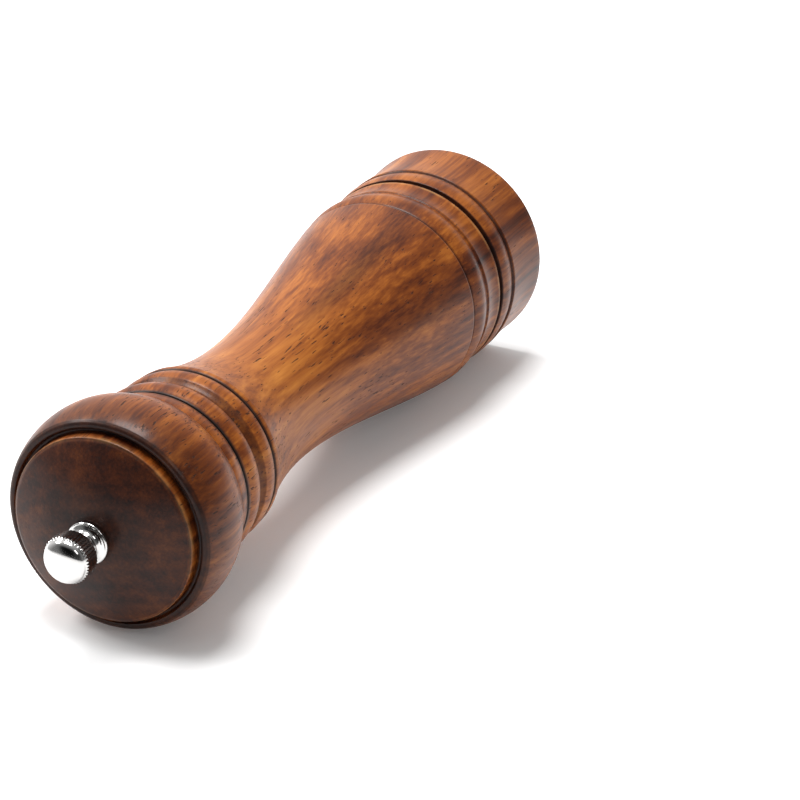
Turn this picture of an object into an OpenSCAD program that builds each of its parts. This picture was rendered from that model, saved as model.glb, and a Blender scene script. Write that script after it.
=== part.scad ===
// Turned wooden pepper mill with a ceramic grinding mechanism.
// +Z runs up the mill's axis, from the foot to the knob. The origin is the
// centre of the foot's underside. All lengths are in millimetres.

/* [Body] */
// Radius of the foot
base_r = 29; // [28.8:0.1:30]
// Height of the body, up to the joint below the head
body_h = 169; // [165:1:175]
// Radius at the narrowest point of the waist
waist_r = 18.2; // [17.8:0.1:19]
// Height of the narrowest point of the waist
waist_z = 121; // [117:1:124]
// Radius of the belly, just above the crease over the foot
belly_r = 28.4; // [27.5:0.1:28.5]
// Radius of the beads at the top of the body
neck_r = 23.9; // [23.5:0.1:24.2]

/* [Head] */
// Height of the head's wood, from the joint to the knob's seat
head_h = 34.7; // [34:0.1:36]
// Radius of the head at its widest
head_r = 28.6; // [28:0.1:29]
// Radius of the rim around the domed top
dome_r = 23.8; // [23.4:0.1:24.2]

/* [Hollow] */
// Radius of the peppercorn chamber
chamber_r = 14; // [13.5:0.1:14.4]
// Height of the ledge that the mechanism is screwed to
ledge_z = 13; // [13:0.5:14]
// Radius of the recess below the ledge
recess_r = 19; // [19:0.5:20]
// Depth of the head's tenon below the joint
tenon_h = 9; // [7:0.5:10]
// Gap between the head's and the body's faces at the joint
joint_gap = 0.3; // [0.2:0.05:0.5]

/* [Knob] */
// Radius over the knurled rim
knob_r = 6; // [5.6:0.1:6.2]
// Height of the knob over its seat
knob_h = 13.6; // [13:0.1:14]
// Radius of the knob's neck
knob_neck_r = 3.4; // [3.3:0.1:3.6]
// Number of flutes round the knurled rim
knurl_count = 44; // [40:1:48]

/* [Drive] */
// Width across the flats of the square shaft
shaft_w = 5; // [4.8:0.1:5.1]
// Radius of the shaft's threaded end
thread_r = 2; // [1.8:0.1:2.2]
// Play across the flats where a piece slides on the square shaft
square_play = 0.3; // [0.2:0.05:0.4]
// Radial clearance of each running fit
running_fit = 0.08; // [0.03:0.01:0.1]

/* [Burrs] */
// Outer radius of the ceramic ring
stator_r = 13; // [12.8:0.1:13.2]
// Radius of the rotor at its foot
rotor_r = 9.6; // [9.4:0.1:9.7]
// Number of teeth on each burr
tooth_count = 20; // [16:2:24]
// Wire thickness of the spring
spring_wire = 0.8; // [0.7:0.05:0.9]
// Turns of the spring
spring_turns = 4; // [3:1:4]

/* [Hidden] */
$fn = 96;

// Heights up the body: grooves, beads and the ends of the long sweeps.
groove_low_z = 19.5;
groove_deep_z = 27.2;
bead_low_z = 36.6;
bead_top_z = 44.6;
crease_z = 45.2;
belly_z = 46;
lip_z = 151.5;
burnt_z = 154;
cove_low_z = 158.6;
cove_top_z = 163;

// Heights up the head.
head_z = body_h + joint_gap / 2;
collar_z = body_h + 6.6;
edge_z = body_h + 7.1;
bulge_z = body_h + 17.8;
step_z = body_h + 26.4;
rim_z = body_h + 29.1;
seat_z = body_h + head_h;

// Slopes of the long sweep, as radius gained per millimetre of height.
belly_slope = -0.14;
lip_slope = 0.32;

// Mechanism, from the foot upwards.
plate_z = 1.8;
plate_t = 1.2;
housing_z = plate_z + plate_t;
bridge_t = 1;
bridge_z = ledge_z - bridge_t;
stator_top_z = bridge_z - 0.2;
throat_z = housing_z + 4.8;
throat_r = 8.4;
mouth_r = 11.4;
stator_foot_r = rotor_r + 0.5;
screw_circle_r = 16.4;
screw_count = 3;
screw_shank_r = 1.3;
screw_head_r = 2.3;
bush_r = 5;
bush_bore_r = shaft_w / sqrt(2) + running_fit;
clip_z = 2.1;
clip_t = 0.6;
hub_z = clip_z + clip_t + 0.1;
hub_r = 6;
hub_top_z = 9.4;
rotor_z = housing_z + 0.2;
rotor_top_z = 9.8;
rotor_top_r = 6.9;
seat_washer_z = 6;
washer_t = 0.5;
thrust_t = 0.6;
thrust_z = bridge_z - 1.1;
spring_r = 4.25;

// Top of the shaft, the drive plate under the tenon, and their screws.
tenon_r = chamber_r - running_fit;
tenon_z = head_z - tenon_h;
drive_plate_r = 11;
drive_plate_t = 1.2;
drive_screw_at = 7.6;
drive_screw_r = 1.2;
head_bore_r = 4;
shaft_foot_z = 1.8;
square_top_z = seat_z - 7;
thread_top_z = seat_z + 8;

// Point on a round stretch about (r, z), with radii a across and b up, at an angle.
function on_arc(r, z, a, b, angle) = [r + a * cos(angle), z + b * sin(angle)];

// Points of a round stretch from one angle to another.
function arc(r, z, a, b, from, to, steps) =
    [for (i = [0:steps]) on_arc(r, z, a, b, from + (to - from) * i / steps)];

// Radius on a smooth sweep between two heights, with a slope given at each end.
function sweep_r(t, span, r0, slope0, r1, slope1) =
    r0 * (2 * pow(t, 3) - 3 * pow(t, 2) + 1) + slope0 * span * (pow(t, 3) - 2 * pow(t, 2) + t)
    + r1 * (3 * pow(t, 2) - 2 * pow(t, 3)) + slope1 * span * (pow(t, 3) - pow(t, 2));

function sweep(z0, r0, slope0, z1, r1, slope1, steps) =
    [for (i = [0:steps])
        [sweep_r(i / steps, z1 - z0, r0, slope0, r1, slope1), z0 + (z1 - z0) * i / steps]];

// A swelling or hollow between two heights: an arc that leaves the radius r and returns to it.
function swell(z0, z1, r, rise, steps) =
    [for (i = [0:steps]) [r + rise * sin(180 * i / steps), z0 + (z1 - z0) * i / steps]];

// Outline of the wooden body's outside, from the foot to the joint.
body_outline = concat(
    arc(base_r - 0.7, 0.7, 0.7, 0.7, -90, 0, 4),
    swell(2, groove_low_z - 0.7, base_r, -0.3, 8),
    [[base_r - 0.9, groove_low_z]],
    swell(groove_low_z + 0.6, groove_deep_z - 1, base_r - 0.4, 0.4, 8),
    arc(base_r - 0.6, groove_deep_z, 1.8, 0.9, 270, 90, 8),
    swell(groove_deep_z + 1.1, bead_low_z - 0.8, base_r - 0.5, -0.5, 6),
    [[base_r - 1, bead_low_z - 0.3]],
    swell(bead_low_z, bead_top_z, base_r - 0.9, 0.9, 10),
    [[belly_r - 0.9, crease_z]],
    sweep(belly_z, belly_r, belly_slope, waist_z, waist_r, 0, 24),
    sweep(waist_z, waist_r, 0, lip_z, neck_r - 1.1, lip_slope, 12),
    swell(lip_z + 0.3, burnt_z - 0.5, neck_r - 0.9, 0.1, 3),
    [[neck_r - 1.7, burnt_z]],
    swell(burnt_z + 0.5, cove_low_z, neck_r - 0.9, 0.35, 8),
    swell(cove_low_z + 0.2, cove_top_z - 0.2, neck_r - 1, -1, 8),
    swell(cove_top_z, body_h - 1, neck_r - 0.5, 0.5, 8),
    arc(neck_r - 1.1, body_h - joint_gap / 2 - 0.6, 0.6, 0.6, 0, 90, 3)
);

// Outline of the wooden head's outside, from the joint to the knob's seat.
head_outline = concat(
    arc(neck_r - 1.1, head_z + 0.6, 0.6, 0.6, -90, 0, 3),
    swell(head_z + 1.1, collar_z, neck_r - 0.4, 0.5, 8),
    [[neck_r + 1.4, edge_z - 0.2]],
    arc(head_r - 8, bulge_z, 8, 13.8, -50, 37, 26),
    arc(head_r - 2.9, bulge_z + 7.8, 1.3, 1.3, 30, 110, 5),
    arc(dome_r + 0.7, step_z, 0.7, 0.8, -20, -180, 6),
    arc(dome_r - 0.5, rim_z - 0.5, 0.5, 0.5, 0, 70, 3),
    [for (i = [1:12]) let (t = i / 12, r = (dome_r - 0.4) * (1 - t) + knob_r * t)
        [r, rim_z + (seat_z - rim_z) * (pow(dome_r, 2) - pow(r, 2)) / (pow(dome_r, 2) - pow(knob_r, 2))]]
);

// Chrome knob: domed cap, knurled rim, neck and flared foot.
knob_rim_z = seat_z + 6.3;
knob_cap_z = seat_z + knob_h - 2.4;
collar_r = 5.4;
// Size of the square-edged cutter, and how far outside the rim it runs.
rim_cutter_r = 0.36;
collar_cutter_r = 0.24;
rim_cutter_out = 0.05;
collar_cutter_out = 0.1;
knob_outline = concat(
    [[collar_r - 0.4, seat_z], [collar_r, seat_z + 0.3], [collar_r, seat_z + 1.1]],
    arc(collar_r - 0.5, seat_z + 1.1, 0.5, 0.5, 15, 90, 3),
    arc(knob_neck_r + 1.4, seat_z + 3.2, 1.4, 1.4, 250, 180, 6),
    [[knob_neck_r, seat_z + 4.7], [knob_neck_r + 0.8, knob_rim_z], [knob_r - 0.4, knob_rim_z],
     [knob_r, knob_rim_z + 0.4], [knob_r, knob_cap_z - 0.7], [knob_r - 0.45, knob_cap_z]],
    arc(0, knob_cap_z, knob_r - 0.5, 2.4, 2, 90, 12)
);

module at_screws() {
    for (i = [0:screw_count - 1])
        rotate([0, 0, 60 + 120 * i])
            translate([screw_circle_r, 0, 0])
                children();
}

module tube(outer, inner, low, high) {
    translate([0, 0, low])
        difference() {
            cylinder(r = outer, h = high - low);
            translate([0, 0, -1]) cylinder(r = inner, h = high - low + 2);
        }
}

module square_hole(width, low, high) {
    translate([-width / 2, -width / 2, low - 1]) cube([width, width, high - low + 2]);
}

// Washer with a square hole, so that it turns with the shaft.
module square_washer(outer, width, low, high) {
    difference() {
        translate([0, 0, low]) cylinder(r = outer, h = high - low);
        square_hole(width, low, high);
    }
}

// Pan-head wood screw, driven upwards, with its head on the underside at height z.
module wood_screw(z, head_r, head_h, shank_r, length) {
    slot_l = 2.6;
    slot_w = 0.5;
    slot_depth = 0.6;
    difference() {
        union() {
            translate([0, 0, z - head_h]) cylinder(r1 = head_r - 0.5, r2 = head_r, h = head_h);
            translate([0, 0, z - 0.01]) cylinder(r = shank_r, h = length - shank_r);
            translate([0, 0, z + length - shank_r - 0.02]) cylinder(r1 = shank_r, r2 = 0.2, h = shank_r);
        }
        for (turn = [0, 90])
            rotate([0, 0, turn])
                translate([-slot_l / 2, -slot_w / 2, z - head_h - 1]) cube([slot_l, slot_w, 1 + slot_depth]);
    }
}

module mill_body() {
    color("saddlebrown")
        difference() {
            rotate_extrude()
                polygon(concat(body_outline, [[0, body_h - joint_gap / 2], [0, 0]]));
            translate([0, 0, -1]) cylinder(r = chamber_r, h = body_h + 2);
            translate([0, 0, -1]) cylinder(r = recess_r, h = ledge_z + 1);
            at_screws() translate([0, 0, ledge_z - 1]) cylinder(r = screw_shank_r, h = 10);
        }
}

module mill_head() {
    color("saddlebrown")
        difference() {
            union() {
                rotate_extrude() polygon(concat([[0, head_z]], head_outline, [[0, seat_z]]));
                translate([0, 0, tenon_z]) cylinder(r = tenon_r, h = tenon_h + 1);
            }
            translate([0, 0, tenon_z - 1]) cylinder(r = head_bore_r, h = seat_z - tenon_z + 2);
            for (side = [-1, 1])
                translate([side * drive_screw_at, 0, tenon_z - 1]) cylinder(r = drive_screw_r, h = 11);
        }
}

module thumb_nut() {
    color("silver")
        difference() {
            rotate_extrude() polygon(concat([[0, seat_z]], knob_outline));
            translate([0, 0, seat_z - 1]) cylinder(r = thread_r + running_fit, h = knob_h - 2);
            for (i = [0:knurl_count - 1])
                rotate([0, 0, 360 * i / knurl_count]) {
                    translate([knob_r + rim_cutter_out, 0, knob_rim_z - 0.5])
                        cylinder(r = rim_cutter_r, h = knob_cap_z - knob_rim_z + 1, $fn = 4);
                    translate([collar_r + collar_cutter_out, 0, seat_z - 0.5])
                        cylinder(r = collar_cutter_r, h = 1.8, $fn = 4);
                }
        }
}

module drive_plate() {
    color("lightgray")
        difference() {
            square_washer(drive_plate_r, shaft_w + square_play, tenon_z - drive_plate_t, tenon_z);
            for (side = [-1, 1])
                translate([side * drive_screw_at, 0, tenon_z - 3]) cylinder(r = drive_screw_r + 0.2, h = 5);
        }
}

module drive_plate_screws() {
    color("dimgray")
        for (side = [-1, 1])
            translate([side * drive_screw_at, 0, 0])
                wood_screw(tenon_z - drive_plate_t, 2.1, 1.2, drive_screw_r - 0.05, 9);
}

module drive_shaft() {
    color("silver")
        union() {
            translate([-shaft_w / 2, -shaft_w / 2, shaft_foot_z])
                cube([shaft_w, shaft_w, square_top_z - shaft_foot_z]);
            translate([0, 0, square_top_z - 0.1]) cylinder(r = thread_r, h = thread_top_z - square_top_z - 0.5);
            translate([0, 0, thread_top_z - 0.61]) cylinder(r1 = thread_r, r2 = thread_r - 0.6, h = 0.6);
        }
}

module thrust_washer() {
    color("gainsboro") square_washer(5, shaft_w + square_play, thrust_z, thrust_z + thrust_t);
}

// Round-wire rings, one for each turn of the spring, standing a pitch apart.
module rotor_spring() {
    low = seat_washer_z + washer_t;
    pitch = (thrust_z - low - spring_wire) / (spring_turns - 1);
    color("gray")
        for (i = [0:spring_turns - 1])
            translate([0, 0, low + spring_wire / 2 + pitch * i])
                rotate_extrude() translate([spring_r, 0]) circle(r = spring_wire / 2, $fn = 16);
}

module spring_seat() {
    color("gainsboro") square_washer(4.8, shaft_w + square_play, seat_washer_z, seat_washer_z + washer_t);
}

module rotor_hub() {
    color("dimgray")
        difference() {
            translate([0, 0, hub_z]) cylinder(r = hub_r - 0.05, h = hub_top_z - hub_z);
            square_hole(shaft_w + 0.1, hub_z, hub_top_z);
            translate([0, 0, seat_washer_z]) cylinder(r = 5, h = 10);
        }
}

module grinder_rotor() {
    lean = atan((rotor_r - rotor_top_r) / (rotor_top_z - rotor_z));
    color("ivory")
        difference() {
            translate([0, 0, rotor_z]) cylinder(r1 = rotor_r, r2 = rotor_top_r, h = rotor_top_z - rotor_z);
            translate([0, 0, rotor_z - 1]) cylinder(r = hub_r, h = 12);
            for (i = [0:tooth_count - 1])
                rotate([0, 0, 360 * i / tooth_count])
                    translate([rotor_r, 0, rotor_z])
                        rotate([0, -lean, 0])
                            translate([0, 0, -2]) cylinder(r = 0.55, h = 12, $fn = 4);
        }
}

module rotor_clip() {
    color("silver") square_washer(5.4, shaft_w + 0.1, clip_z, clip_z + clip_t);
}

module grinder_stator() {
    lean = atan((stator_foot_r - throat_r) / (throat_z - housing_z));
    color("ivory")
        difference() {
            rotate_extrude()
                polygon([[stator_foot_r, housing_z], [stator_r, housing_z], [stator_r, stator_top_z],
                         [mouth_r, stator_top_z], [throat_r, throat_z]]);
            for (i = [0:tooth_count - 1])
                rotate([0, 0, 360 * (i + 0.5) / tooth_count])
                    translate([stator_foot_r, 0, housing_z])
                        rotate([0, -lean, 0])
                            translate([0, 0, -2]) cylinder(r = 0.55, h = 8, $fn = 4);
        }
}

module burr_housing() {
    color("black")
        difference() {
            union() {
                tube(15, stator_r + 0.05, housing_z, bridge_z);
                tube(recess_r - 0.3, stator_r + 0.05, bridge_z - 2.2, bridge_z);
                at_screws() translate([0, 0, housing_z]) cylinder(r = 2.2, h = bridge_z - housing_z);
            }
            at_screws() translate([0, 0, housing_z - 1]) cylinder(r = screw_shank_r + 0.1, h = 12);
        }
}

module shaft_bridge() {
    color("silver")
        difference() {
            union() {
                tube(recess_r - 0.3, stator_r + 0.2, bridge_z, ledge_z);
                tube(bush_r + 1.6, bush_r, bridge_z, ledge_z);
                for (i = [0:2])
                    rotate([0, 0, 60 + 120 * i])
                        translate([bush_r + 1, -1.6, bridge_z]) cube([stator_r - bush_r, 3.2, bridge_t]);
            }
            at_screws() translate([0, 0, bridge_z - 1]) cylinder(r = screw_shank_r + 0.1, h = 4);
        }
}

module bridge_bushing() {
    color("white")
        difference() {
            union() {
                translate([0, 0, bridge_z - 0.4]) cylinder(r = bush_r - 0.05, h = bridge_t + 1);
                translate([0, 0, ledge_z]) cylinder(r = bush_r + 1, h = 1.2);
            }
            translate([0, 0, bridge_z - 2]) cylinder(r = bush_bore_r, h = 8);
        }
}

module bottom_plate() {
    color("silver")
        difference() {
            tube(recess_r - 0.3, stator_r - 0.8, plate_z, plate_z + plate_t);
            at_screws() translate([0, 0, plate_z - 1]) cylinder(r = screw_shank_r + 0.2, h = 4);
        }
}

module bottom_plate_screws() {
    color("dimgray") at_screws() wood_screw(plate_z, screw_head_r, 1.3, screw_shank_r - 0.05, 18);
}

mill_body();
mill_head();
thumb_nut();
drive_plate();
drive_plate_screws();
drive_shaft();
thrust_washer();
rotor_spring();
spring_seat();
rotor_hub();
grinder_rotor();
rotor_clip();
grinder_stator();
burr_housing();
shaft_bridge();
bridge_bushing();
bottom_plate();
bottom_plate_screws();
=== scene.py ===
"""Looks of a turned wooden pepper mill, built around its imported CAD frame. Metres, +Z up the mill's axis."""
import math

import bmesh
import bpy
from mathutils import Matrix, Vector


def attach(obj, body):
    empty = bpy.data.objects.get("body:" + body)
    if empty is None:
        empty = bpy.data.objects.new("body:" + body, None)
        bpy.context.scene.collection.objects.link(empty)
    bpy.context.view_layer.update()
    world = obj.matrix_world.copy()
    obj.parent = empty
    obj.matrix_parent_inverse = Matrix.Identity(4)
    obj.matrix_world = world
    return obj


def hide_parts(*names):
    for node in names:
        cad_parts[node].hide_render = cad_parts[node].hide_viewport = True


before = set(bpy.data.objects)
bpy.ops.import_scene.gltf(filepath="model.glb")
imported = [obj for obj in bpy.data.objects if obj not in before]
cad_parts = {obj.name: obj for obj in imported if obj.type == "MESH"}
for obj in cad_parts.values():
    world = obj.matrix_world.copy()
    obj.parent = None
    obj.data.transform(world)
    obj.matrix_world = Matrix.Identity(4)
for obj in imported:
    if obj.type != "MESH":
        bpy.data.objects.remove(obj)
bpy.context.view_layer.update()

MM = 0.001
AROUND = 168            # faces round a turned piece
LONG_RUN = 6            # mm, a straight longer than this is left almost undivided
END_GUARD = 0.4         # mm, how close to its ends the points of a long straight lie

# ---------------------------------------------------------------- sizes, in millimetres, as in the CAD model
BASE_R, BODY_H, WAIST_R, WAIST_Z, BELLY_R, NECK_R = 29.0, 169.0, 18.2, 121.0, 28.4, 23.9
HEAD_H, HEAD_R, DOME_R = 34.7, 28.6, 23.8
CHAMBER_R, LEDGE_Z, RECESS_R, TENON_H, JOINT_GAP = 14.0, 13.0, 19.0, 9.0, 0.3
KNOB_R, KNOB_H, KNOB_NECK_R, COLLAR_R = 6.0, 13.6, 3.4, 5.4
SHAFT_W, THREAD_R, THREAD_PITCH = 5.0, 2.0, 0.7
FIT = 0.08
GROOVE_LOW_Z, GROOVE_DEEP_Z, BEAD_LOW_Z, BEAD_TOP_Z, CREASE_Z, BELLY_Z = 19.5, 27.2, 36.6, 44.6, 45.2, 46.0
LIP_Z, BURNT_Z, COVE_LOW_Z, COVE_TOP_Z = 151.5, 154.0, 158.6, 163.0
HEAD_Z = BODY_H + JOINT_GAP / 2
COLLAR_Z, EDGE_Z, BULGE_Z, STEP_Z, RIM_Z = (BODY_H + d for d in (6.6, 7.1, 17.8, 26.4, 29.1))
SEAT_Z = BODY_H + HEAD_H
TENON_Z = HEAD_Z - TENON_H
TENON_R = CHAMBER_R - FIT
BORE_R = 4.0


# ---------------------------------------------------------------- outlines: lists of (radius, height)
def arc(r, z, a, b, start, end, steps):
    """A round stretch about (r, z), with radii a across and b up, between two angles in degrees."""
    angles = [math.radians(start + (end - start) * i / steps) for i in range(steps + 1)]
    return [(r + a * math.cos(t), z + b * math.sin(t)) for t in angles]


def swell(z0, z1, r, rise, steps):
    """A bead, or a hollow where rise is negative, that leaves the radius r and returns to it."""
    return [(r + rise * math.sin(math.pi * i / steps), z0 + (z1 - z0) * i / steps) for i in range(steps + 1)]


def sweep(z0, r0, slope0, z1, r1, slope1, steps):
    """A smooth sweep between two heights, with the slope given at each end."""
    points, span = [], z1 - z0
    for i in range(steps + 1):
        t = i / steps
        r = r0 * (2 * t**3 - 3 * t**2 + 1) + slope0 * span * (t**3 - 2 * t**2 + t)
        r += r1 * (3 * t**2 - 2 * t**3) + slope1 * span * (t**3 - t**2)
        points.append((r, z0 + span * t))
    return points


def body_outline():
    return (
        arc(BASE_R - 0.7, 0.7, 0.7, 0.7, -90, 0, 8)
        + swell(2, GROOVE_LOW_Z - 0.7, BASE_R, -0.3, 24)
        + [(BASE_R - 0.9, GROOVE_LOW_Z)]
        + swell(GROOVE_LOW_Z + 0.6, GROOVE_DEEP_Z - 1, BASE_R - 0.4, 0.4, 20)
        + arc(BASE_R - 0.6, GROOVE_DEEP_Z, 1.8, 0.9, 270, 90, 20)
        + swell(GROOVE_DEEP_Z + 1.1, BEAD_LOW_Z - 0.8, BASE_R - 0.5, -0.5, 20)
        + [(BASE_R - 1, BEAD_LOW_Z - 0.3)]
        + swell(BEAD_LOW_Z, BEAD_TOP_Z, BASE_R - 0.9, 0.9, 28)
        + [(BELLY_R - 0.9, CREASE_Z)]
        + sweep(BELLY_Z, BELLY_R, -0.14, WAIST_Z, WAIST_R, 0, 75)
        + sweep(WAIST_Z, WAIST_R, 0, LIP_Z, NECK_R - 1.1, 0.32, 36)[1:]
        + swell(LIP_Z + 0.3, BURNT_Z - 0.5, NECK_R - 0.9, 0.1, 6)
        + [(NECK_R - 1.7, BURNT_Z)]
        + swell(BURNT_Z + 0.5, COVE_LOW_Z, NECK_R - 0.9, 0.35, 18)
        + swell(COVE_LOW_Z + 0.2, COVE_TOP_Z - 0.2, NECK_R - 1, -1, 24)
        + swell(COVE_TOP_Z, BODY_H - 1, NECK_R - 0.5, 0.5, 20)
        + arc(NECK_R - 1.1, BODY_H - JOINT_GAP / 2 - 0.6, 0.6, 0.6, 0, 90, 8)
    )


def head_outline():
    def dome(t):
        r = (DOME_R - 0.4) * (1 - t) + KNOB_R * t
        fall = (DOME_R**2 - r**2) / (DOME_R**2 - KNOB_R**2)
        return r, RIM_Z + (SEAT_Z - RIM_Z) * fall

    return (
        arc(NECK_R - 1.1, HEAD_Z + 0.6, 0.6, 0.6, -90, 0, 8)
        + swell(HEAD_Z + 1.1, COLLAR_Z, NECK_R - 0.4, 0.5, 18)
        + [(NECK_R + 1.4, EDGE_Z - 0.2)]
        + arc(HEAD_R - 8, BULGE_Z, 8, 13.8, -50, 37, 70)
        + arc(HEAD_R - 2.9, BULGE_Z + 7.8, 1.3, 1.3, 30, 110, 12)
        + arc(DOME_R + 0.7, STEP_Z, 0.7, 0.8, -20, -180, 14)
        + arc(DOME_R - 0.5, RIM_Z - 0.5, 0.5, 0.5, 0, 70, 8)
        + [dome(i / 40) for i in range(1, 41)]
    )


def subdivide(outline, step=0.5):
    """The closed outline with a point every step. A long straight gets points near its ends only."""
    points = []
    for here, there in zip(outline, outline[1:] + outline[:1]):
        length = math.dist(here, there)
        if length > LONG_RUN:
            places = [0, END_GUARD / length, 1 - END_GUARD / length]
        else:
            pieces = max(1, math.ceil(length / step))
            places = [i / pieces for i in range(pieces)]
        points += [tuple(a + (b - a) * t for a, b in zip(here, there)) for t in places]
    return points


def lathe(name, outline, around=AROUND, radius_at=None):
    """A closed solid of revolution about Z from a closed outline in millimetres."""
    mesh = bpy.data.meshes.new(name)
    rows = len(outline)
    verts = []
    for k in range(around):
        angle = 2 * math.pi * k / around
        for r, z in outline:
            q = radius_at(r, z, angle) if radius_at else r
            verts.append((q * math.cos(angle) * MM, q * math.sin(angle) * MM, z * MM))
    faces = []
    for k in range(around):
        here, there = k * rows, (k + 1) % around * rows
        for j in range(rows):
            n = (j + 1) % rows
            faces.append((here + j, there + j, there + n, here + n))
    mesh.from_pydata(verts, [], faces)
    if min(r for r, _ in outline) == 0:
        shell = bmesh.new()
        shell.from_mesh(mesh)
        bmesh.ops.remove_doubles(shell, verts=shell.verts, dist=1e-7)
        shell.to_mesh(mesh)
        shell.free()
    mesh.shade_smooth()
    obj = bpy.data.objects.new(name, mesh)
    bpy.context.collection.objects.link(obj)
    return obj


# ---------------------------------------------------------------- stain, wear and painted shade on the wood, by height
def near(z, at, half_width):
    """1 at a height, fading to 0 at half_width from it."""
    t = max(0.0, 1 - abs(z - at) / half_width)
    return t * t * (3 - 2 * t)


def marks_and_shade_at(r, z):
    """How much the wood is burnt black, worn light and soaked dark at a point of the outside. It also holds
    painted shade in the deep groove and in the step under the dome's rim, a painted highlight on the deep
    groove's upper lip, and darker low groove and crease.
    """
    burnt_and_shade = max(near(z, BURNT_Z, 1.15), near(z, BODY_H, 1.6) * (r > NECK_R - 1.3))
    # Painted shade: the deep groove is darkened, mostly for the shade that falls in it.
    burnt_and_shade = max(burnt_and_shade, 0.85 * near(z, GROOVE_DEEP_Z, 1.5))
    # Darkens the low groove and the crease above the lower bead.
    burnt_and_shade = max(burnt_and_shade, 0.45 * near(z, GROOVE_LOW_Z, 0.7), 0.4 * near(z, CREASE_Z, 0.7))
    worn_and_highlight = near(z, EDGE_Z - 0.1, 0.55) * (r > NECK_R + 0.6)
    worn_and_highlight = max(worn_and_highlight, 0.3 * near(z, RIM_Z - 0.6, 0.9) * (DOME_R - 0.6 < r < DOME_R + 0.3))
    # Painted highlight: the upper lip of the deep groove is lightened where light catches its edge.
    worn_and_highlight = max(worn_and_highlight, 0.5 * near(z, GROOVE_DEEP_Z + 1.4, 0.6))
    # Painted shade: the step under the dome's rim is darkened for the shade that falls in it. The cove of the
    # neck is darker stain.
    soaked_and_shade = max(near(z, (COVE_LOW_Z + COVE_TOP_Z) / 2, 2.2), near(z, STEP_Z - 0.2, 1.6) * (r > DOME_R))
    # Darker over the upper part of the bulge, towards the dome.
    soaked_and_shade = max(soaked_and_shade, 0.7 * near(z, BULGE_Z + 7, 13) * (r > DOME_R))
    return burnt_and_shade, worn_and_highlight, soaked_and_shade


def streak_at(angle, z):
    """Broad dark streaks of the grain down the belly, by angle and height."""
    streaks = ((-64, 13, 80, 42, 0.9), (-118, 9, 62, 30, 0.45), (28, 16, 84, 44, 0.8), (150, 14, 70, 46, 0.8))
    apart = (abs((angle - at + 180) % 360 - 180) for at, *_ in streaks)
    return max(
        weight * near(gap, 0, width) * near(z, middle, reach)
        for gap, (_, width, middle, reach, weight) in zip(apart, streaks)
    )


def paint_marks_and_shade(obj):
    """Stores the marks as a colour on each vertex: red burnt lines and painted groove shade, green wear and a
    painted highlight, blue soaked stain and painted shade, alpha end grain.
    """
    mesh = obj.data
    layer = mesh.color_attributes.new("marks_and_shade", "FLOAT_COLOR", "POINT")
    normals = [v.normal.z for v in mesh.vertices]
    for v, up, item in zip(mesh.vertices, normals, layer.data):
        r = math.hypot(v.co.x, v.co.y) / MM
        outside = r > CHAMBER_R + 0.4
        burnt_and_shade, worn_and_highlight, soaked_and_shade = marks_and_shade_at(r, v.co.z / MM) if outside else (0, 0, 0.4)
        soaked_and_shade = max(soaked_and_shade, streak_at(math.degrees(math.atan2(v.co.y, v.co.x)), v.co.z / MM))
        item.color = (burnt_and_shade, worn_and_highlight, soaked_and_shade, abs(up))


# ---------------------------------------------------------------- materials
class Nodes:
    """A node material, with short calls for the nodes that the finishes share."""

    def __init__(self, name):
        self.material = bpy.data.materials.new(name)
        self.material.use_nodes = True
        self.tree = self.material.node_tree
        self.shader = self.tree.nodes["Principled BSDF"]
        self.place = self.tree.nodes.new("ShaderNodeTexCoord").outputs["Object"]

    def put(self, socket, value):
        if isinstance(value, bpy.types.NodeSocket):
            self.tree.links.new(value, socket)
        else:
            socket.default_value = value

    def math(self, operation, a, b=0.0):
        node = self.tree.nodes.new("ShaderNodeMath")
        node.operation = operation
        for socket, value in zip(node.inputs, (a, b)):
            self.put(socket, value)
        return node.outputs[0]

    def stretched(self, scale, offset=(0, 0, 0)):
        node = self.tree.nodes.new("ShaderNodeMapping")
        self.put(node.inputs["Vector"], self.place)
        node.inputs["Scale"].default_value = scale
        node.inputs["Location"].default_value = offset
        return node.outputs[0]

    def noise(self, scale, offset=(0, 0, 0), detail=2.0, rough=0.5):
        node = self.tree.nodes.new("ShaderNodeTexNoise")
        self.put(node.inputs["Vector"], self.stretched(scale, offset))
        node.inputs["Scale"].default_value = 1.0
        node.inputs["Detail"].default_value = detail
        node.inputs["Roughness"].default_value = rough
        return node.outputs["Fac"]

    def remap(self, value, low, high, to_low=0.0, to_high=1.0):
        node = self.tree.nodes.new("ShaderNodeMapRange")
        for socket, item in zip(node.inputs, (value, low, high, to_low, to_high)):
            self.put(socket, item)
        return node.outputs[0]

    def ramp(self, value, stops):
        node = self.tree.nodes.new("ShaderNodeValToRGB")
        self.put(node.inputs[0], value)
        points = node.color_ramp.elements
        while len(points) < len(stops):
            points.new(0.5)
        for point, (at, colour) in zip(points, stops):
            point.position, point.color = at, (*colour, 1)
        return node.outputs[0]

    def mix(self, factor, a, b, blend="MIX"):
        node = self.tree.nodes.new("ShaderNodeMix")
        node.data_type, node.blend_type = "RGBA", blend
        self.put(node.inputs[0], factor)
        for socket, value in ((node.inputs[6], a), (node.inputs[7], b)):
            self.put(socket, value if isinstance(value, bpy.types.NodeSocket) else (*value, 1))
        return node.outputs[2]

    def bump(self, height, strength, distance, under=None):
        node = self.tree.nodes.new("ShaderNodeBump")
        node.inputs["Strength"].default_value = strength
        node.inputs["Distance"].default_value = distance
        self.put(node.inputs["Height"], height)
        if under:
            self.put(node.inputs["Normal"], under)
        return node.outputs[0]

    def finish(self, **sockets):
        for name, value in sockets.items():
            self.put(self.shader.inputs[name.replace("_", " ")], value)
        return self.material


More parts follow.
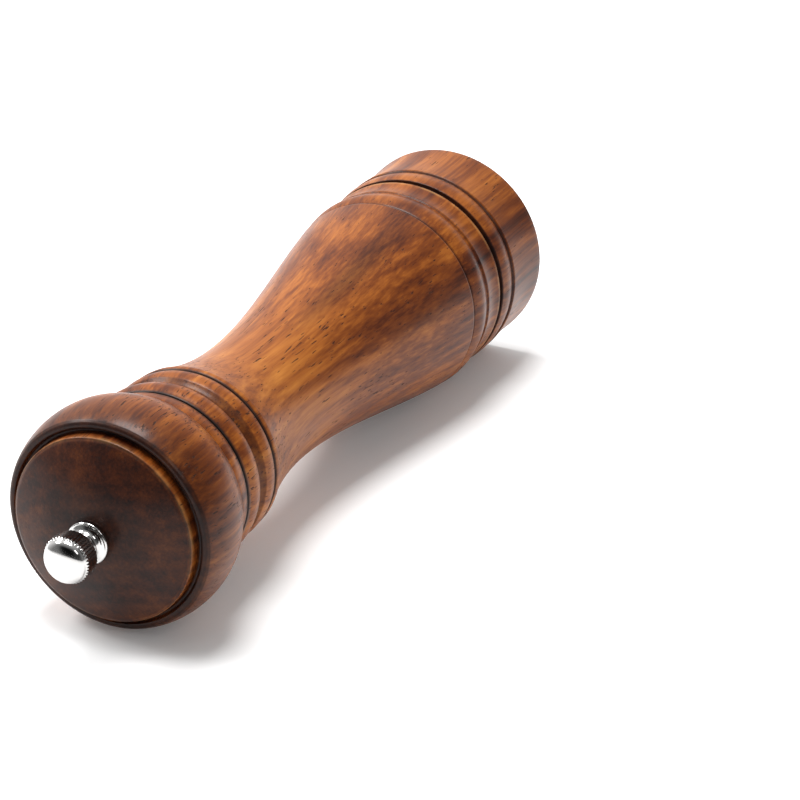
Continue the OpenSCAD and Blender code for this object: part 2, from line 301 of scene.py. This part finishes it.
def stained_wood(name, shift):
    """Dark-stained open-pored wood under satin lacquer; the grain runs along the axis. Its vertex colour also
    paints shade into the deep groove and the step under the dome's rim, and a highlight on the groove's upper
    lip.
    """
    n = Nodes(name)
    marks_and_shade = n.tree.nodes.new("ShaderNodeAttribute")
    marks_and_shade.attribute_name = "marks_and_shade"
    parts = n.tree.nodes.new("ShaderNodeSeparateColor")
    n.put(parts.inputs[0], marks_and_shade.outputs["Color"])
    burnt_and_shade, worn_and_highlight, soaked_and_shade = parts.outputs
    end_grain = n.remap(marks_and_shade.outputs["Alpha"], 0.30, 0.85)

    wander = n.noise((38, 38, 9), shift, detail=2)
    apart = n.tree.nodes.new("ShaderNodeSeparateXYZ")
    n.put(apart.inputs[0], n.stretched((1, 1, 1), (0.052, -0.031, 0)))
    squares = n.math("ADD", n.math("MULTIPLY", apart.outputs[0], apart.outputs[0]),
                     n.math("MULTIPLY", apart.outputs[1], apart.outputs[1]))
    from_pith = n.math("ADD", n.math("SQRT", squares), n.math("MULTIPLY", wander, 0.012))
    rings = n.math("SINE", n.math("MULTIPLY", from_pith, 2 * math.pi / 0.0042))

    bands = n.noise((110, 110, 5), shift, detail=2, rough=0.45)
    streaks = n.noise((480, 480, 13), shift, detail=4, rough=0.6)
    mottle = n.noise((70, 70, 26), shift, detail=3, rough=0.55)
    fibre = n.noise((1300, 1300, 42), shift, detail=2, rough=0.6)
    tone = n.math("ADD", n.math("MULTIPLY", streaks, 0.24), n.math("MULTIPLY", mottle, 0.22))
    tone = n.math("ADD", tone, n.math("MULTIPLY", bands, 0.30))
    tone = n.math("ADD", tone, 0.035)
    tone = n.math("ADD", tone, n.math("MULTIPLY", fibre, 0.22))
    tone = n.math("SUBTRACT", tone, n.math("MULTIPLY", rings, 0.022))
    height = n.tree.nodes.new("ShaderNodeSeparateXYZ")
    n.put(height.inputs[0], n.place)
    from_waist = n.math("ABSOLUTE", n.math("SUBTRACT", height.outputs[2], (WAIST_Z + 14) * MM))
    tone = n.math("ADD", tone, n.remap(from_waist, 0.0, 0.062, 0.085, 0.0))
    colour = n.ramp(tone, [
        (0.37, (0.024, 0.005, 0.002)), (0.46, (0.080, 0.017, 0.004)), (0.54, (0.165, 0.040, 0.006)),
        (0.62, (0.29, 0.084, 0.012)), (0.74, (0.46, 0.165, 0.026)),
    ])
    pore_field = n.noise((2100, 2100, 170), shift, detail=1.5, rough=0.5)
    pore_limit = n.remap(n.noise((120, 120, 60), shift, detail=1), 0.35, 0.65, 0.71, 0.62)
    pore_limit = n.math("ADD", pore_limit, n.remap(height.outputs[2], 0.06, 0.11, 0.035, 0.0))
    pores = n.remap(n.math("SUBTRACT", pore_field, pore_limit), 0.0, 0.04)
    pores = n.math("MULTIPLY", pores, n.math("SUBTRACT", 1.0, n.math("MULTIPLY", end_grain, 0.6)))

    colour = n.mix(n.math("MULTIPLY", end_grain, 0.86), colour, (0.085, 0.032, 0.021), "MULTIPLY")
    # Darkens where the wood is soaked, and paints shade into the step under the dome's rim.
    colour = n.mix(n.math("MULTIPLY", soaked_and_shade, 0.75), colour, (0.20, 0.17, 0.18), "MULTIPLY")
    patchy = n.remap(n.noise((260, 260, 260), shift, detail=3), 0.35, 0.6)
    # Lightens the worn edges, and paints a highlight on the deep groove's upper lip.
    colour = n.mix(n.math("MULTIPLY", n.math("MULTIPLY", worn_and_highlight, patchy), 0.75), colour, (0.62, 0.33, 0.11))
    colour = n.mix(n.math("MULTIPLY", pores, 0.85), colour, (0.022, 0.008, 0.004))
    # Blackens the burnt lines, and paints shade into the deep groove.
    colour = n.mix(burnt_and_shade, colour, (0.005, 0.003, 0.003))

    rough = n.remap(n.noise((90, 90, 40), shift, detail=3), 0.3, 0.7, 0.34, 0.46)
    rough = n.math("ADD", rough, n.math("MULTIPLY", pores, 0.25))
    rough = n.math("ADD", rough, n.math("MULTIPLY", end_grain, 0.16))
    relief = n.math("SUBTRACT", n.math("MULTIPLY", fibre, 0.12), pores)
    turned = n.bump(n.noise((6, 6, 900), shift, detail=2), 0.05, 0.0002)
    return n.finish(Base_Color=colour, Roughness=rough, Normal=n.bump(relief, 0.35, 0.0002, turned),
                    Specular_IOR_Level=0.14, Coat_Weight=0.16, Coat_Roughness=0.20)


def polished_chrome(name):
    n = Nodes(name)
    smear = n.noise((220, 220, 220), detail=4)
    colour = n.mix(smear, (0.50, 0.49, 0.48), (0.62, 0.61, 0.60))
    hairlines = n.noise((900, 900, 7000), detail=2)
    return n.finish(Base_Color=colour, Metallic=1.0, Roughness=n.remap(smear, 0.3, 0.7, 0.05, 0.13),
                    Normal=n.bump(hairlines, 0.04, 0.0001))


def worked_steel(name, colour, rough, scale=(2500, 200, 2500)):
    """Bare steel with the fine lines of rolling, drawing or plating."""
    n = Nodes(name)
    lines = n.noise(scale, detail=3, rough=0.6)
    spots = n.noise((300, 300, 300), detail=4)
    dull = tuple(0.62 * c for c in colour)
    return n.finish(Base_Color=n.mix(spots, dull, colour), Metallic=1.0,
                    Roughness=n.remap(lines, 0.3, 0.7, rough - 0.08, rough + 0.12),
                    Normal=n.bump(lines, 0.12, 0.0001))


def fired_ceramic(name):
    n = Nodes(name)
    specks = n.remap(n.noise((2600, 2600, 2600), detail=2), 0.62, 0.70)
    cloud = n.noise((150, 150, 150), detail=4)
    colour = n.mix(cloud, (0.74, 0.71, 0.64), (0.88, 0.86, 0.81))
    colour = n.mix(n.math("MULTIPLY", specks, 0.5), colour, (0.36, 0.31, 0.25))
    return n.finish(Base_Color=colour, Roughness=n.remap(cloud, 0.3, 0.7, 0.45, 0.6),
                    Normal=n.bump(n.noise((1800, 1800, 1800), detail=3), 0.2, 0.0001))


def moulded_nylon(name, dark, light):
    n = Nodes(name)
    grain = n.noise((2200, 2200, 2200), detail=3)
    cloud = n.noise((110, 110, 110), detail=3)
    return n.finish(Base_Color=n.mix(cloud, dark, light), Roughness=n.remap(grain, 0.3, 0.7, 0.38, 0.58),
                    Normal=n.bump(grain, 0.15, 0.0001))


def cover(obj, material):
    obj.data.materials.clear()
    obj.data.materials.append(material)


body_wood = lathe(
    "body_wood",
    subdivide(
        [(RECESS_R, 0.0)] + body_outline()
        + [(CHAMBER_R + 0.3, BODY_H - JOINT_GAP / 2), (CHAMBER_R, BODY_H - 0.5)]
        + [(CHAMBER_R, LEDGE_Z), (RECESS_R, LEDGE_Z)]
    ),
)
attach(body_wood, "base")
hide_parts("mill_body")

head_wood = lathe(
    "head_wood",
    subdivide(
        [(TENON_R, HEAD_Z)] + head_outline()
        + [(BORE_R, SEAT_Z), (BORE_R, TENON_Z), (TENON_R - 0.5, TENON_Z), (TENON_R, TENON_Z + 0.5)]
    ),
)
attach(head_wood, "head")
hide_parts("mill_head")

for piece, shift in ((body_wood, (0.3, 0.7, 0.2)), (head_wood, (5.1, 2.3, 8.7))):
    paint_marks_and_shade(piece)
    cover(piece, stained_wood(piece.name, shift))


# ---------------------------------------------------------------- knob
KNURLS, SAMPLES_PER_KNURL, KNURL_DEPTH = 44, 6, 0.34
SEAT_GAP = 0.02         # mm, so that the foot and the wood under it are not in one plane
KNOB_FOOT_Z, KNOB_RIM_Z, KNOB_CAP_Z = SEAT_Z + SEAT_GAP, SEAT_Z + 6.3, SEAT_Z + KNOB_H - 2.4


def knurled(r, z, angle):
    """Cuts fine flutes into the rim under the cap and into the rim of the foot."""
    tooth = 1 - abs(2 * (KNURLS * angle / (2 * math.pi) % 1) - 1)
    if KNOB_RIM_Z - 0.1 < z < KNOB_CAP_Z + 0.01 and r > KNOB_NECK_R + 1:
        return min(r, KNOB_R - KNURL_DEPTH * (1 - tooth))
    if SEAT_Z < z < SEAT_Z + 1.2:
        return min(r, COLLAR_R - 0.15 * (1 - tooth))
    return r


knob = lathe(
    "knob",
    subdivide(
        [(THREAD_R + FIT, KNOB_FOOT_Z), (COLLAR_R - 0.4, KNOB_FOOT_Z)]
        + [(COLLAR_R, SEAT_Z + 0.3), (COLLAR_R, SEAT_Z + 1.1)]
        + arc(COLLAR_R - 0.5, SEAT_Z + 1.1, 0.5, 0.5, 15, 90, 6)
        + arc(KNOB_NECK_R + 1.4, SEAT_Z + 3.2, 1.4, 1.4, 250, 180, 14)
        + [(KNOB_NECK_R, SEAT_Z + 4.7), (KNOB_NECK_R + 0.8, KNOB_RIM_Z), (KNOB_R - 0.4, KNOB_RIM_Z),
           (KNOB_R, KNOB_RIM_Z + 0.4), (KNOB_R, KNOB_CAP_Z - 0.7), (KNOB_R - 0.45, KNOB_CAP_Z)]
        + arc(0, KNOB_CAP_Z, KNOB_R - 0.5, 2.4, 2, 88, 28)
        + [(0, KNOB_CAP_Z + 2.4), (0, KNOB_CAP_Z - 1), (THREAD_R + FIT, KNOB_CAP_Z - 1)],
        0.3,
    ),
    KNURLS * SAMPLES_PER_KNURL,
    knurled,
)
for face in knob.data.polygons:
    middle_r, middle_z = math.hypot(face.center.x, face.center.y) / MM, face.center.z / MM
    face.use_smooth = not (middle_r > KNOB_R - 0.6 and KNOB_RIM_Z - 0.1 < middle_z < KNOB_CAP_Z + 0.05)
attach(knob, "knob")
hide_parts("thumb_nut")
cover(knob, polished_chrome("polished_chrome"))

# ---------------------------------------------------------------- drive shaft, with the thread cut on its end
SHAFT_FOOT_Z, SQUARE_TOP_Z, THREAD_TOP_Z = 1.8, SEAT_Z - 7, SEAT_Z + 7.5
SHAFT_POINTS, CHAMFER_H, THREAD_STEP = 64, 0.4, 0.07


def shaft_ring(z):
    """The shaft's outline at a height: a square with eased corners, or a thread."""
    ring = []
    for k in range(SHAFT_POINTS):
        angle = 2 * math.pi * k / SHAFT_POINTS
        if z <= SQUARE_TOP_Z:
            half = SHAFT_W / 2
            chamfer = 0.35 * max(0.0, 1 - (z - SHAFT_FOOT_Z) / CHAMFER_H, 1 - (SQUARE_TOP_Z - z) / CHAMFER_H)
            flat = half - chamfer
            r = min(flat / max(abs(math.cos(angle)), abs(math.sin(angle))), half * math.sqrt(2) - 0.2)
        else:
            turn = (z / THREAD_PITCH - k / SHAFT_POINTS) % 1
            r = THREAD_R - 0.36 * abs(2 * turn - 1) - max(0.0, 0.6 * (1 - (THREAD_TOP_Z - z) / 0.6))
        ring.append((r * math.cos(angle) * MM, r * math.sin(angle) * MM, z * MM))
    return ring


def stacked(name, heights, ring_at):
    """A closed solid from rings at rising heights."""
    rings = [ring_at(z) for z in heights]
    count = len(rings[0])
    verts = [v for ring in rings for v in ring]
    faces = [tuple(range(count - 1, -1, -1)), tuple(range(len(verts) - count, len(verts)))]
    for j in range(len(rings) - 1):
        low, high = j * count, (j + 1) * count
        faces += [(low + k, low + (k + 1) % count, high + (k + 1) % count, high + k) for k in range(count)]
    mesh = bpy.data.meshes.new(name)
    mesh.from_pydata(verts, [], faces)
    obj = bpy.data.objects.new(name, mesh)
    bpy.context.collection.objects.link(obj)
    return obj


def spaced(low, high, steps):
    """Evenly spaced heights, both ends included."""
    return [low + (high - low) * i / steps for i in range(steps + 1)]


shaft = stacked(
    "shaft",
    [SHAFT_FOOT_Z] + spaced(SHAFT_FOOT_Z + CHAMFER_H, SQUARE_TOP_Z - CHAMFER_H, 40) + [SQUARE_TOP_Z]
    + spaced(SQUARE_TOP_Z + 0.001, THREAD_TOP_Z, round((THREAD_TOP_Z - SQUARE_TOP_Z) / THREAD_STEP)),
    shaft_ring,
)
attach(shaft, "spindle")
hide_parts("drive_shaft")

sheet_steel = worked_steel("sheet_steel", (0.62, 0.62, 0.63), 0.34)
bar_steel = worked_steel("bar_steel", (0.68, 0.68, 0.69), 0.30, (2500, 2500, 120))
zinc_plate = worked_steel("zinc_plate", (0.58, 0.60, 0.63), 0.28, (900, 900, 900))
spring_wire = worked_steel("spring_wire", (0.45, 0.45, 0.47), 0.32, (1500, 1500, 1500))
ceramic = fired_ceramic("fired_ceramic")
black_nylon = moulded_nylon("black_nylon", (0.012, 0.012, 0.013), (0.035, 0.035, 0.036))
white_nylon = moulded_nylon("white_nylon", (0.70, 0.70, 0.66), (0.82, 0.82, 0.79))
FINISHES = {
    "drive_plate": sheet_steel, "thrust_washer": sheet_steel, "spring_seat": sheet_steel,
    "rotor_clip": sheet_steel, "shaft_bridge": sheet_steel, "bottom_plate": sheet_steel,
    "drive_plate_screws": zinc_plate, "bottom_plate_screws": zinc_plate,
    "rotor_spring": spring_wire, "grinder_rotor": ceramic, "grinder_stator": ceramic,
    "rotor_hub": black_nylon, "burr_housing": black_nylon, "bridge_bushing": white_nylon,
}
for node_name, material in FINISHES.items():
    cover(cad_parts[node_name], material)
cover(shaft, bar_steel)


# ---------------------------------------------------------------- camera
camera_data = bpy.data.cameras.new("camera")
camera = bpy.data.objects.new("camera", camera_data)
bpy.context.collection.objects.link(camera)
bpy.context.scene.camera = camera
camera_data.sensor_width = 36
camera_data.lens = 132.25
camera_data.clip_start, camera_data.clip_end = 0.05, 20

# The mill lies on its side, so the surface it lies on is a plane beside it whose normal is up.
UP = Vector((1, -1, 0)).normalized()
GAUGE = Matrix.Rotation(math.radians(-96.97), 3, "Z")
RIGHT = GAUGE @ Vector((0.71433, -0.55864, -0.42150))
DOWN = GAUGE @ Vector((-0.41921, -0.82386, 0.38146))
AHEAD = GAUGE @ Vector((-0.56035, -0.09579, -0.82270))
camera.matrix_world = Matrix.Translation(GAUGE @ Vector((0.44757, 0.05214, 0.72226))) @ Matrix(
    (RIGHT, -DOWN, -AHEAD)
).transposed().to_4x4()

LEFT, BACKWARD = -RIGHT, (AHEAD - AHEAD.dot(UP) * UP).normalized()
CENTRE = Vector((0, 0, 0.105))


def softbox(name, direction, distance, width, height, watts):
    """A rectangular area light that faces the middle of the mill."""
    data = bpy.data.lights.new(name, "AREA")
    data.shape, data.size, data.size_y, data.energy = "RECTANGLE", width, height, watts
    lamp = bpy.data.objects.new(name, data)
    bpy.context.collection.objects.link(lamp)
    lamp.location = CENTRE + direction.normalized() * distance
    lamp.rotation_euler = (-direction).to_track_quat("-Z", "Y").to_euler()


KEY = UP.cross(Vector((0, 0, 1))) * -0.10 + UP
softbox("key", KEY, 0.9, 0.45, 0.45, 9.5)
softbox("left", LEFT + UP * 1.0 + BACKWARD * 0.3, 0.9, 0.25, 0.5, 5.0)
softbox("front", RIGHT * 0.35 - AHEAD + UP * 0.3, 1.0, 0.30, 0.30, 0.9)

world = bpy.data.worlds.new("studio")
bpy.context.scene.world = world
world.use_nodes = True
air = world.node_tree
towards = air.nodes.new("ShaderNodeTexCoord").outputs["Generated"]


def seen_along(direction, low, high, to_low, to_high):
    """A value that changes with the angle between a ray and a direction."""
    aim = air.nodes.new("ShaderNodeVectorMath")
    aim.operation = "DOT_PRODUCT"
    air.links.new(towards, aim.inputs[0])
    aim.inputs[1].default_value = direction.normalized()
    shade = air.nodes.new("ShaderNodeMapRange")
    air.links.new(aim.outputs["Value"], shade.inputs[0])
    for socket, value in zip(list(shade.inputs)[1:5], (low, high, to_low, to_high)):
        socket.default_value = value
    return shade.outputs[0]


def combined(operation, a, b):
    """The sum, product or the like of two values of the sky."""
    node = air.nodes.new("ShaderNodeMath")
    node.operation = operation
    air.links.new(a, node.inputs[0])
    air.links.new(b, node.inputs[1])
    return node.outputs[0]


dark_camera_side = seen_along(-AHEAD + UP * 0.35, 0.35, 0.85, 0.26, 0.05)
dark_flag = seen_along(Vector((AHEAD.x, AHEAD.y, -AHEAD.z)) + RIGHT * 0.35 + UP * 0.75, 0.86, 0.95, 1.0, 0.12)
glow = seen_along(KEY, 0.55, 0.95, 0.0, 0.50)
backdrop = seen_along(BACKWARD + LEFT * 0.5 + UP * 0.25, 0.3, 0.9, 0.0, 0.8)
sky = combined("ADD", combined("MULTIPLY", dark_camera_side, dark_flag), combined("ADD", glow, backdrop))
air.links.new(sky, air.nodes["Background"].inputs[1])
air.nodes["Background"].inputs[0].default_value = (1, 1, 1, 1)
bpy.context.scene.view_settings.view_transform = "Standard"

# The pale surface that the mill lies on. It shows from its front only, and casts no shadow.
floor_mesh = bpy.data.meshes.new("floor")
across, along = Vector((0, 0, 1)).cross(UP) * 3, Vector((0, 0, 3))
middle = CENTRE - UP * BASE_R * MM
corners = [middle + i * across + j * along for i, j in ((-1, -1), (1, -1), (1, 1), (-1, 1))]
floor_mesh.from_pydata(corners, [], [(0, 1, 2, 3)])
floor = bpy.data.objects.new("floor", floor_mesh)
bpy.context.collection.objects.link(floor)
floor.visible_transmission = floor.visible_shadow = False
paint = Nodes("floor_paint")
side = paint.tree.nodes.new("ShaderNodeNewGeometry").outputs["Backfacing"]
clear = paint.tree.nodes.new("ShaderNodeBsdfTransparent").outputs[0]
matt = paint.tree.nodes.new("ShaderNodeBsdfDiffuse")
matt.inputs[0].default_value = (0.92, 0.92, 0.92, 1)
lift = paint.tree.nodes.new("ShaderNodeEmission")
lift.inputs[1].default_value = 0.10
pale = paint.tree.nodes.new("ShaderNodeAddShader")
paint.put(pale.inputs[0], matt.outputs[0])
paint.put(pale.inputs[1], lift.outputs[0])
choose = paint.tree.nodes.new("ShaderNodeMixShader")
for socket, value in zip(choose.inputs, (side, pale.outputs[0], clear)):
    paint.put(socket, value)
paint.put(paint.tree.nodes["Material Output"].inputs[0], choose.outputs[0])
cover(floor, paint.material)
